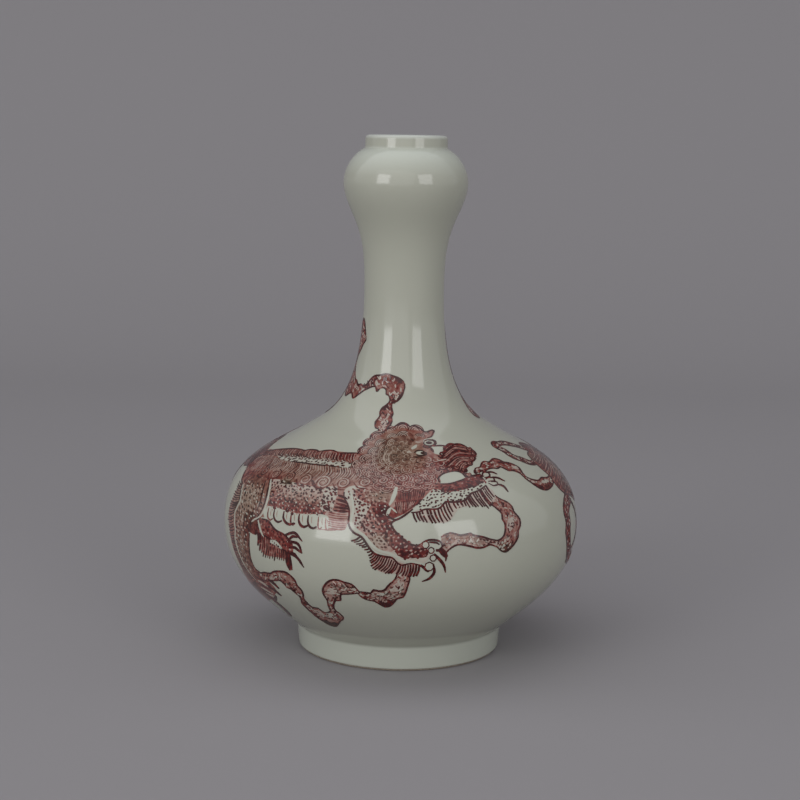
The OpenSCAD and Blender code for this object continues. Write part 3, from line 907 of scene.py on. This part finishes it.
dotted(drawing, near_core, (3.4, 2.8), (1.4, 0.9), -40, (0.05, 0.25))
dotted(drawing, near_shade, (2.2, 2.0), (1.9, 1.2), -40, strong)
dotted(drawing, elbow, (2.0, 1.7), (1.6, 1.1), -40, (0.45, 0.9))
dotted(drawing, near_wrist, (2.3, 1.9), (1.9, 1.4), -35, strong)
dotted(drawing, near_wrist, (2.7, 2.2), (1.4, 0.9), 30, (0.12, 0.36))
dot(drawing, (5.5, 80.6), 9, 3.4, -8, 0.95)
dotted(drawing, column, (2.6, 2.2), (1.8, 1.3), -30, strong)
dotted(drawing, far_spots, (2.4, 1.8), (1.6, 1.0), 30, (0.95, 1.2))
dotted(drawing, far_arm, (3.0, 2.1), (1.7, 1.0), 15, (0.75, 1.1))
dotted(drawing, far_arm, (4.4, 3.0), (1.3, 0.8), 15, (0.3, 0.5))
dotted(drawing, other_leg, (2.6, 2.1), (1.8, 1.2), -20, strong)
dotted(drawing, other_leg, (4.4, 3.2), (1.4, 0.9), -20, (0.2, 0.45))
dotted(drawing, spine_band, (3.0, 2.2), (1.8, 1.2), 35, strong)

# A row of dabs along the far foreleg, and larger dabs on the flank: x, m, length, width and ink
row_x, row_m, row_pitch, row_rise = 26, 116.4, 2.1, 0.02
blots = [(-54, 101.5, 6, 5, 0.85), (-67, 103, 7, 3.4, 0.8), (-43, 103.5, 5, 3, 0.95),
         (-78, 98.6, 3, 2, 1.0), (-68, 98.5, 3, 2.2, 1.0), (-64, 97.4, 2.4, 1.8, 0.9),
         (-77, 115, 6, 2.4, 0.85)]
blot_lift = line_lift - 0.01
for i in range(15):
    spot = (row_x + row_pitch * i, row_m + row_rise * i * i + hand.uniform(-0.5, 0.5))
    dot(drawing, spot, 2.3, 1.6, 25, 1.0, ink_lift)
for x, m, wide, tall, ink in blots:
    dot(drawing, (x, m), wide, tall, -15, ink, blot_lift)

# Plates under the belly: x, breadth, width of the stroke and ink
plate_top, plate_foot = 98, 91.4
plates = [(-82.5, 5.5, 1.0, 0.7), (-77.5, 7.5, 1.3, 1.0), (-70, 9, 1.6, 1.0), (-64.5, 4, 1.1, 0.9),
          (-59, 7, 1.6, 1.0), (-53, 6.5, 1.4, 1.0), (-46.5, 3, 0.9, 0.5), (-42, 3.5, 0.9, 0.4)]
for x, wide, width, ink in plates:
    hook = [(x, plate_top), (x + 0.4, plate_foot + 3.2), (x + 0.3 * wide, plate_foot + 0.8),
            (x + 0.65 * wide, plate_foot), (x + wide, plate_foot + 1.2)]
    stroke(drawing, hook, width, ink, (0.5, 0.7), ink_lift)
    stroke(drawing, [(x + 2.4, plate_top - 0.4), (x + 2.6, plate_top - 2.6),
                     (x + 3.2, plate_top - 4.2)], 0.5, 0.4)

# Lines in the fold behind the near foreleg
fold_lines = [
    [(-39, 111.6), (-35, 111), (-31.5, 109.6)], [(-38.5, 109), (-34, 108.2), (-30.5, 106.9)],
    [(-38, 106.6), (-34, 106), (-29.5, 105.2)], [(-38.5, 104.4), (-33, 104.2), (-29, 104)],
    [(-38.5, 102.4), (-33, 102.3), (-29, 102.6)],
]
for line in fold_lines:
    stroke(drawing, line, 1.6, 1.0)
fringe(drawing, [(-41, 101), (-39.5, 92.6)], [(-29.5, 101), (-29.8, 92.4)], 8, 0.6, 0.55, -0.03)
painted(drawing, "lion_spots")

# Fringes and claws
# Tufts of long hair down the back of each leg, one stroke to a hair, and the curved claws of the
# paws, brushed in strong copper red over the washes.

# Roots, tips, number, width, ink, bow and ends of each tuft's hairs
leg_tufts = [
    # Near foreleg
    ([(-21, 90), (-17.5, 86), (-14, 81.5)],
     [(-26, 87), (-22.5, 85), (-18.5, 82.5), (-16.6, 79.5)], 8, 0.95, 1.1, 0.1, (0.9, 0.8)),
    ([(-13, 81), (-10.5, 80), (-5, 78.5), (-1, 75.5)],
     [(-15.8, 78.5), (-15, 73.5), (-10.5, 71.3), (-5, 69.6)], 12, 0.95, 1.1, 0.1, (0.8, 1.0)),
    ([(0.5, 75), (3.5, 75), (6.5, 75.5), (10.5, 75.5)],
     [(-2, 69.5), (1.5, 69), (5.5, 68.5), (9, 68.8)], 8, 1.1, 1.1, 0.08, (0.8, 0.9)),
    # Far foreleg
    ([(7, 103.6), (11, 104.3), (14.5, 105.6), (21.5, 105.3)],
     [(9, 98.3), (13.5, 98.3), (19, 97.5), (24, 97.3)], 8, 1.25, 1.15, -0.06, (0.9, 0.7)),
    ([(23, 106), (26.5, 110), (32.5, 110), (38, 110)],
     [(26.5, 97.5), (29, 101), (32.5, 104.8), (38.5, 106.4)], 8, 1.2, 1.15, -0.06, (0.9, 0.7)),
    ([(39, 110.5), (42.5, 113.5), (47.5, 115), (50.5, 116), (56.5, 118.3)],
     [(40.5, 105), (44, 105), (50, 104.5), (54, 104.3), (58.5, 110)], 12, 1.15, 1.15, -0.06,
     (0.9, 0.7)),
    # Far and near hind legs
    ([(-89, 84), (-85, 83), (-80, 81.5), (-72, 78.5), (-64, 76)],
     [(-88, 76), (-84, 70), (-77, 69.5), (-70, 70.5), (-64, 71.5)], 17, 0.95, 1.0, 0.1, (0.9, 0.5)),
    ([(-122, 104), (-116, 97), (-118, 90), (-117, 83), (-115.5, 76), (-113, 68), (-108, 58),
      (-103, 52)],
     [(-131, 105), (-128, 97), (-130, 89), (-129, 82), (-124, 75), (-119, 67), (-115, 57), (-112, 49)],
     40, 0.8, 1.0, 0.06, (0.9, 0.5)),
    ([(-101, 50), (-104, 43), (-110, 36)],
     [(-136, 37), (-141, 31), (-141, 25)], 9, 1.4, 1.0, 0.05, (0.8, 0.3)),
]
# Slender claws of all the paws
claws = [
    [(19, 83), (22, 82.5), (24.5, 80), (24.3, 76.8)], [(18, 81), (21, 78), (23.5, 74.5), (24.5, 70.5)],
    [(17.5, 75.5), (18.4, 71), (16, 67.4), (12, 65.6)], [(11, 75), (13, 73.5), (15, 71.5), (17, 72.5)],
    [(64, 127), (68, 127), (71.5, 124.8)], [(65.5, 123), (69.5, 122), (73.4, 119)],
    [(66, 117.6), (69.5, 116), (70.6, 111.8)], [(56, 130), (54.5, 128), (55.5, 126)],
    [(-66, 85.4), (-60, 87.4), (-54.5, 83.5)], [(-62, 82.4), (-57, 81.6), (-54.5, 76.8)],
    [(-62, 79), (-59, 79.4), (-54.8, 77)], [(-62, 75.6), (-57.5, 74), (-53.5, 69)],
    [(-62, 76.4), (-59, 75.6), (-57, 73.4)], [(-63, 83.6), (-61, 85.4), (-57.6, 85.2)],
]
# Broad claws of the hind feet and the near forefoot, each a line and its width
talons = [
    ([(-84, 55.5), (-80, 54), (-77, 50.6)], 2.6), ([(-89, 50), (-83.5, 48.6), (-79, 44.4)], 3.0),
    ([(-99, 37), (-92, 37.6), (-86, 42.5)], 2.6),
    ([(-102, 42), (-95.5, 35), (-92.5, 29), (-94, 23.5), (-98, 19)], 5.0),
    ([(-64, 76.5), (-63.5, 70), (-62.5, 66)], 4.4), ([(21, 84), (23, 81.6), (25, 79)], 3.4),
]
# Dark creases between the toes of the near hind foot, and the light on the toes
creases = [[(-99, 55), (-93, 53.5), (-88, 52.5)], [(-100, 49), (-94, 48), (-88, 46.6)],
           [(-103, 44), (-97, 43.4), (-91, 43)], [(-106, 40), (-100, 39), (-94, 39)]]
toes = [[(-99, 46), (-93, 45), (-88, 43.5)], [(-97, 51.5), (-92, 51), (-88, 49)],
        [(-97, 42), (-92, 41), (-89, 41.5)]]
drawing = new_drawing()
for tuft in leg_tufts:
    fringe(drawing, *tuft)
for claw in claws:
    stroke(drawing, claw, 1.7, 1.05, (0.8, 0.3), ink_lift)
for talon, width in talons:
    stroke(drawing, talon, width, 1.0, (0.6, 0.5), ink_lift)
for crease in creases:
    stroke(drawing, crease, 1.3, 1.05, (0.6, 0.5), ink_lift)
for toe in toes:
    stroke(drawing, toe, 2.2, 0.12, (0.4, 0.4), ink_lift)
painted(drawing, "lion_fringes")

# Outline and face
# The brushed outline of the lion: a scalloped back, legs, mane and jaw, and the face with its two
# round eyes, short nose and curled beard.
contours = [
    # Back and rump
    [(-150, 127.5), (-140, 128.5), (-130, 132.5), (-119, 136), (-110, 138.5), (-100, 140), (-94, 140)],
    [(-94, 139.6), (-88, 141.8), (-80, 142.6), (-77, 141.6)],
    [(-77.5, 141.6), (-70, 144), (-63, 144.6), (-57, 143.4)],
    [(-58, 143), (-50, 144), (-42, 144.8), (-38, 145)],
    [(-92, 129.2), (-80, 130.4), (-70, 130.8), (-58, 131.6), (-45, 131.6)],
    [(-143, 120), (-138, 115), (-132, 109), (-127, 106), (-122, 104), (-116, 97), (-118, 90)],
    [(-96, 81), (-96.4, 72), (-96, 65), (-94, 60.5), (-90, 59)],
    [(-95, 114), (-91, 108.5), (-88, 102), (-87.6, 97), (-89, 93)],
    [(-98, 112), (-94.5, 106), (-92, 100), (-92, 95)],
    # Tail
    [(-148, 128), (-156, 134), (-163, 138), (-170, 140), (-176, 139), (-177, 134)],
    [(-148, 112), (-158, 113), (-164, 117)],
    [(150, 135), (140, 133.4), (129, 131.8), (123, 126.4), (121.5, 120), (122.5, 115), (121.5, 109),
     (124, 104), (129, 100.5), (137, 98), (144, 95), (151, 92), (155, 98), (159, 109), (164, 119)],
    # Near foreleg and chest
    [(-35, 114), (-34, 110.6), (-31, 107), (-29, 103), (-28.6, 99), (-28, 95), (-25, 91.4),
     (-20.6, 89.4), (-17, 85), (-13.5, 81), (-8, 79.5), (-4, 79), (-1, 76), (1, 75), (6, 76), (11, 75)],
    [(7, 105.5), (2, 101.5), (-3, 99), (-5, 97), (-3, 93.5), (1, 89.5), (5, 86.7), (9, 85.8), (12, 87)],
    [(-7, 101.5), (-3, 99.3), (1, 101), (5, 104)],
    [(11, 86.5), (14, 88.3), (18, 88.6), (21.5, 87.5), (22.5, 85), (21, 83)],
    [(15.5, 87.5), (19.5, 87), (21, 86)],
    # Far foreleg and paw
    [(6, 103.5), (10, 103.8), (14, 105.3), (21, 105.3), (24, 107), (26.5, 109.3), (31, 109),
     (37, 109.2), (41, 111), (44, 113.6), (48, 114.5), (51, 115.5), (57, 118)],
    [(22, 121.4), (32, 121.2), (40, 122.8), (46, 124.5), (52, 126), (58, 126.6)],
    [(58, 124.4), (61, 127.4), (65, 126.6), (64, 124), (59, 123.4)],
    [(59, 122), (62, 123.2), (66, 122.4), (65.5, 120.4), (60, 120.6)],
    [(59.5, 119.4), (62, 117.2), (66, 117.6), (66.5, 119.4), (62, 120)],
    # Far hind leg
    [(-86, 91), (-80, 90.6), (-74, 87), (-66, 85), (-62, 81.5)],
    [(-83, 82.6), (-77, 81), (-72, 78.6), (-66, 76.8)],
    # Mane, ear, muzzle and beard
    [(-39, 144), (-38, 147), (-39.5, 149), (-37, 151.5)],
    [(-36, 151), (-38, 153.5), (-36.5, 156), (-34, 157.5)],
    [(-33.5, 157.5), (-34.5, 160), (-31, 162.5), (-28, 163.5)],
    [(-28, 163), (-22, 164), (-18.5, 166.5), (-12, 168)],
    [(-12, 167), (-7, 169.7), (0, 171), (6, 170.5), (11, 168.5)],
    [(10, 168.5), (14, 169.6), (19, 168.8), (24, 167), (26, 165)],
    [(26, 165), (30, 164.5), (36, 165.6), (39.5, 165.3), (36, 162.5), (33, 160.5), (28, 159.5)],
    [(46, 151), (50, 151), (53, 152.7), (58, 153), (62, 152.3), (65, 150.5), (66.2, 148.7)],
    [(66, 148.5), (69, 147), (69.5, 144.5), (66.5, 141.5)],
    [(66.5, 141.5), (64, 139.5), (61, 137.8), (58, 137.5)],
    [(58.5, 137), (57, 135.2), (53, 134), (50, 132.5)],
    [(50, 132), (47, 129.5), (45, 127), (46, 124.5)],
    [(26, 122.4), (25.2, 125.2), (28.6, 128.4), (33, 130), (37.5, 130.7), (41, 130.5), (44, 129),
     (45, 126.5)],
    # Nose, lips and cheek
    [(31, 152.6), (38, 152.8), (43, 152.3), (46, 151)],
    [(40, 150.5), (41.5, 149), (40, 147.2), (36, 147), (34.5, 145.8), (36, 144.2), (38.5, 145)],
    [(32, 144.5), (33.5, 142.5), (36.5, 144)],
    # Lids
    [(11.5, 147.4), (14.5, 149.2), (19, 148.9), (22.8, 146.6)],
    [(13, 145.6), (17, 144.6), (22.5, 145.8)],
    [(22.5, 155), (25, 157.4), (30, 157.8), (33.5, 157.3), (35, 155.5), (33, 153.5), (28, 152.8),
     (23.5, 153.8), (22.5, 155)],
]
# Broad strokes of the face and body: a line, its width and its ink
touches = [
    ([(7.5, 164), (10.5, 161.5), (12, 158.5), (9.5, 156)], 2.8, 0.72),
    ([(6, 159), (8.5, 156.5), (7.5, 154)], 2.0, 0.66),
    ([(10, 144), (15, 143.2), (20, 142.4)], 2.0, 0.85), ([(21, 153), (25, 152), (29, 152)], 2.6, 0.95),
    ([(28.5, 151), (29.3, 147.5)], 1.8, 0.95),
    ([(32.5, 158), (35.2, 156.5), (34.6, 154.6), (31, 153.2)], 1.7, 1.0),
    ([(14.5, 156.6), (17, 155.8), (19.5, 156.4)], 1.6, 0.2),
    ([(5, 147.6), (7, 148.4), (9, 147.4)], 1.8, 0.16),
    ([(9.5, 150.6), (12.5, 152), (15, 154)], 2.0, 0.05),
    ([(30, 140), (35, 140.6), (38, 141)], 1.2, 0.14),
    ([(-13, 149), (-15, 144), (-13.6, 140), (-10, 136)], 0.8, 0.24),
    ([(-8.5, 148), (-11, 144), (-9.4, 139.6), (-6, 137)], 0.7, 0.26),
    ([(-2.8, 119.4), (-3.6, 115), (-5, 110.6), (-6.4, 107.6)], 2.3, 0.02),
    ([(-7.4, 101.6), (-6.4, 104.6), (-5.4, 106.2)], 1.9, 0.0),
    ([(-5.4, 106), (-3.5, 104.6), (-2, 103.2)], 0.9, 0.0), ([(-9.4, 105), (-8.6, 105.2)], 1.2, 0.0),
    ([(-94, 114), (-89, 108), (-86.2, 102), (-85.8, 97), (-87.4, 92.6), (-92, 89.4)], 1.5, 0.06),
    ([(-89, 89.6), (-85.5, 84.5), (-82.5, 81.4)], 1.5, 0.04), ([(-95, 87.6), (-91, 90.4)], 1.2, 0.1),
    ([(-121, 104.6), (-117, 100), (-114, 96), (-115.6, 91), (-117, 88), (-115.4, 83), (-113.6, 79),
      (-114, 74), (-111, 67), (-106, 58), (-100, 51)], 1.6, 0.08),
    ([(-31, 114.5), (-28, 108.5), (-26.6, 102), (-27.2, 97), (-24.7, 93.4), (-19, 90), (-15, 85.8),
      (-11.5, 83), (-6, 81.4), (-2, 80), (2, 77.4), (8, 77.6)], 1.5, 0.03),
    ([(-77, 80), (-73, 79.8), (-68, 77.4)], 2.6, 0.04),
]
beard_curls = [(31, 134), (36, 132.6), (42, 133.4), (47, 131), (48, 127), (66, 148), (66.6, 144),
               (61, 140), (55, 136)]
# Eyes: the middle of each, its half breadth and half height, and the place of its pupil
eyes = [((27.5, 155.3), (4.5, 2.0), (28, 155.3)), ((17.4, 147.1), (4.5, 1.6), (20, 146.9))]
pupil_long, pupil_wide = 4.0, 2.7
# Round pads at the roots of the near forefoot's claws: x, m and size
pads = [(13.5, 86, 3.2), (16.5, 83, 2.6), (17.6, 78.8, 2.8), (15.6, 74.2, 4.2)]
pad_rim = 1.4
curl_lift, white_lift, pupil_lift = ink_lift + 0.015, ink_lift + 0.02, ink_lift + 0.04
drawing = new_drawing()
for contour in contours:
    brushed_edge(drawing, contour, 1.05)
for line, width, ink in touches:
    stroke(drawing, line, width, ink, (0.6, 0.35), ink_lift)
fringe(drawing, [(40, 150), (34, 141.5), (35, 134), (44, 130)],
       [(60, 152), (68.5, 146), (65, 139.5), (54, 135)], 17, 1.1, 1.0, 0.14)
fringe(drawing, [(41, 149), (36, 141.5), (37, 134.5), (46, 131)],
       [(62, 151), (68, 145), (63, 139.5), (55, 136)], 14, 0.7, 0.34, 0.14)
for spot in beard_curls:
    dot(drawing, spot, 4, 3, 0, 0.4, ink_lift)
    curl(drawing, spot, 4.4, 40, -1.4, 0.9, 1.0, curl_lift)
fringe(drawing, [(-1.5, 117.5), (15, 117)], [(-1, 110), (13, 112)], 13, 0.9, 1.0)
fringe(drawing, [(-3, 109.5), (13, 111.5)], [(-1.5, 101.8), (9.5, 107.6)], 14, 0.7, 1.0)
fringe(drawing, [(-2.4, 109), (8.4, 110)], [(-1, 102.6), (5.4, 105.6)], 10, 0.45, 0.36)
for centre, half, pupil in eyes:
    dot(drawing, centre, 2 * half[0] * girth_share(centre[1]), 2 * half[1], 0, bare, white_lift)
    dot(drawing, pupil, pupil_long, pupil_wide, 0, 1.5, pupil_lift)
for x, m, size in pads:
    dot(drawing, (x, m), size + pad_rim, size + pad_rim, 0, 1.0, white_lift)
    dot(drawing, (x, m), size, size, 0, 0.05, pupil_lift)
painted(drawing, "lion_outline")

# Floor and backdrop
# A sweep of plain grey paper, which lies flat under the vase, bends up in a wide curve behind it and
# stands there as the backdrop.
paper = (145, 142, 144)
paper_reach, paper_back, paper_top, paper_bend = 6.0, 2.2, 5.0, 1.2
paper_mat, nodes, links, surface = shader("grey_paper")
surface.inputs["Base Color"].default_value = linear(paper)
surface.inputs["Roughness"].default_value = 0.95
bm = bmesh.new()
bmesh.ops.create_grid(bm, x_segments=1, y_segments=1, size=paper_reach)
back_edges = [e for e in bm.edges if all(v.co.y > 0 for v in e.verts)]
for v in bm.verts:
    if v.co.y > 0:
        v.co.y = paper_back
risen = bmesh.ops.extrude_edge_only(bm, edges=back_edges)
for v in risen["geom"]:
    if isinstance(v, bmesh.types.BMVert):
        v.co.z = paper_top
corner = [e for e in bm.edges if all(v.co.y > 0 and v.co.z < paper_bend for v in e.verts)]
bmesh.ops.bevel(bm, geom=corner, offset=paper_bend, affect="EDGES", segments=24, profile=0.5,
                material=-1)
mesh = bpy.data.meshes.new("paper_sweep")
bm.to_mesh(mesh)
bm.free()
mesh.shade_smooth()
mesh.materials.append(paper_mat)
sweep = bpy.data.objects.new("paper_sweep", mesh)
bpy.context.scene.collection.objects.link(sweep)


# Light
# Two soft boxes and a wide dim one at the front, and a glow all round that is brightest above and
# behind the vase, as under a white ceiling.
def soft_box(name, place, aim, width, height, watts):
    """A lamp with a soft flat face, turned to what it lights."""
    data = bpy.data.lights.new(name, "AREA")
    data.shape = "RECTANGLE"
    data.size = width
    data.size_y = height
    data.energy = watts
    lamp = bpy.data.objects.new(name, data)
    lamp.location = place
    lamp.rotation_euler = (Vector(aim) - Vector(place)).to_track_quat("-Z", "Y").to_euler()
    bpy.context.scene.collection.objects.link(lamp)


vase_middle = (0, 0, 0.15)
soft_box("left_box", (-2.70, -2.95, 1.25), vase_middle, 1.7, 2.0, 37)
soft_box("right_box", (2.41, -3.19, 1.33), vase_middle, 1.9, 2.2, 34)
soft_box("front_fill", (-1.0, -2.5, 0.9), vase_middle, 4.0, 3.0, 20)
room_white = (235, 236, 240)
ceiling_way = (-0.28, 0.42, 0.86)
glow_edge, glow_full = 0.3, 1.0
glow_dim, glow_bright = 0.58, 1.25
world = bpy.data.worlds.new("room")
world.use_nodes = True
nodes, links = world.node_tree.nodes, world.node_tree.links
sky = nodes["Background"]
sky.inputs["Color"].default_value = linear(room_white)
way = nodes.new("ShaderNodeTexCoord")
ceiling = nodes.new("ShaderNodeVectorMath")
ceiling.operation = "DOT_PRODUCT"
ceiling.inputs[1].default_value = ceiling_way
links.new(way.outputs["Generated"], ceiling.inputs[0])
glow = nodes.new("ShaderNodeMapRange")
glow.interpolation_type = "SMOOTHSTEP"
glow.inputs["From Min"].default_value = glow_edge
glow.inputs["From Max"].default_value = glow_full
glow.inputs["To Min"].default_value = glow_dim
glow.inputs["To Max"].default_value = glow_bright
links.new(ceiling.outputs["Value"], glow.inputs["Value"])
links.new(glow.outputs["Result"], sky.inputs["Strength"])
bpy.context.scene.world = world
bpy.context.scene.view_settings.view_transform = "Standard"

# Camera
# It stands a metre in front, just above the mouth, and looks a little down, as in the photograph.
# Its turns are in degrees.
camera_place = (0, -1000.1 * mm, 305 * mm)
pitch, yaw, roll = 9.02, -0.078, 0.94
focal_px, image_px, sensor = 1726.3, 800, 36
lens = bpy.data.cameras.new("camera")
lens.sensor_width = sensor
lens.lens = focal_px * sensor / image_px
camera = bpy.data.objects.new("camera", lens)
camera.location = camera_place
turn = Matrix.Rotation(math.radians(-yaw), 3, "Z")
turn = turn @ Matrix.Rotation(math.radians(90 - pitch), 3, "X")
turn = turn @ Matrix.Rotation(math.radians(roll), 3, "Z")
camera.rotation_euler = turn.to_euler()
bpy.context.scene.collection.objects.link(camera)
bpy.context.scene.camera = camera
